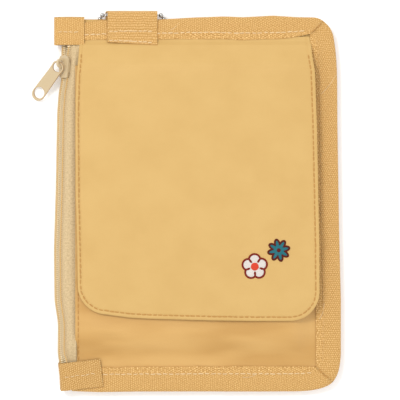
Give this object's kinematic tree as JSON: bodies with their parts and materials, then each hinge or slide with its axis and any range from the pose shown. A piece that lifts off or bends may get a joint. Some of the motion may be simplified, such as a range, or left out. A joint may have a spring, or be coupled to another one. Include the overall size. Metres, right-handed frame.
{
  "type": "neck pouch wallet",
  "caption": "Flat fabric pouch with a front flap pocket, a zipped side pocket, bound edges and a webbing hanging loop with a ball chain.",
  "frame": {"origin": "centre of the flat back face, on the surface the pouch lies on", "axes": "+Z out of the pouch's face, +Y to its top edge with the webbing loop, +X away from the zip"},
  "size_m": [0.1538, 0.1906, 0.0121],
  "materials": {
    "satin": "satin",
    "lining": "matte",
    "grosgrain": "ribbed",
    "flap_cloth": "matte satin",
    "zip_tape": "herringbone",
    "zip_coil": "satin",
    "enamel": "satin enamel",
    "hook_and_loop": "fuzzy",
    "thread_white": "stitched",
    "thread_maroon": "stitched",
    "thread_red": "stitched",
    "thread_teal": "stitched",
    "thread_dark": "stitched",
    "nickel": "polished nickel"
  },
  "bodies": {
    "pouch": {"back_panel": "satin", "divider_panel": "lining", "front_panel": "satin", "pocket_loop_patch": "hook_and_loop", "binding_top": "grosgrain", "binding_right": "grosgrain", "binding_bottom": "grosgrain", "zip_tape_front": "zip_tape", "zip_tape_back": "zip_tape", "zip_coil_front": "zip_coil", "zip_coil_back": "zip_coil", "zip_tab_top": "grosgrain", "zip_tab_bottom": "grosgrain", "webbing_loop": "grosgrain"},
    "flap": {"flap_outer": "flap_cloth", "flap_lining": "lining", "flap_hook_patch": "hook_and_loop", "white_flower_petals": "thread_white", "white_flower_outline": "thread_maroon", "white_flower_centre": "thread_red", "teal_flower_petals": "thread_teal", "teal_flower_outline": "thread_dark", "teal_flower_centre": "thread_dark"},
    "slider": {"zip_slider": "enamel"},
    "pull": {"zip_pull": "enamel"},
    "ball_chain": {"chain_balls": "nickel", "chain_links": "nickel", "chain_connector": "nickel"}
  },
  "joints": [
    {"name": "flap_fold", "type": "hinge", "parent": "pouch", "child": "flap", "pos_m": [0, 0.0806, 0.0072], "axis": [-1, 0, 0], "range_deg": [0, 120]},
    {"name": "zip_run", "type": "slide", "parent": "pouch", "child": "slider", "axis": [-0.0129, -0.9999, 0], "range_m": [0, 0.136]},
    {"name": "pull_swing", "type": "hinge", "parent": "slider", "child": "pull", "pos_m": [-0.06899, 0.07123, 0.00776], "axis": [-0.707, 0.0091, -0.7071], "range_deg": [0, 70]},
    {"name": "chain_swing", "type": "hinge", "parent": "pouch", "child": "ball_chain", "pos_m": [-0.0335, 0.0955, 0.0049], "axis": [1, 0, 0], "range_deg": [0, 180]}
  ]
}
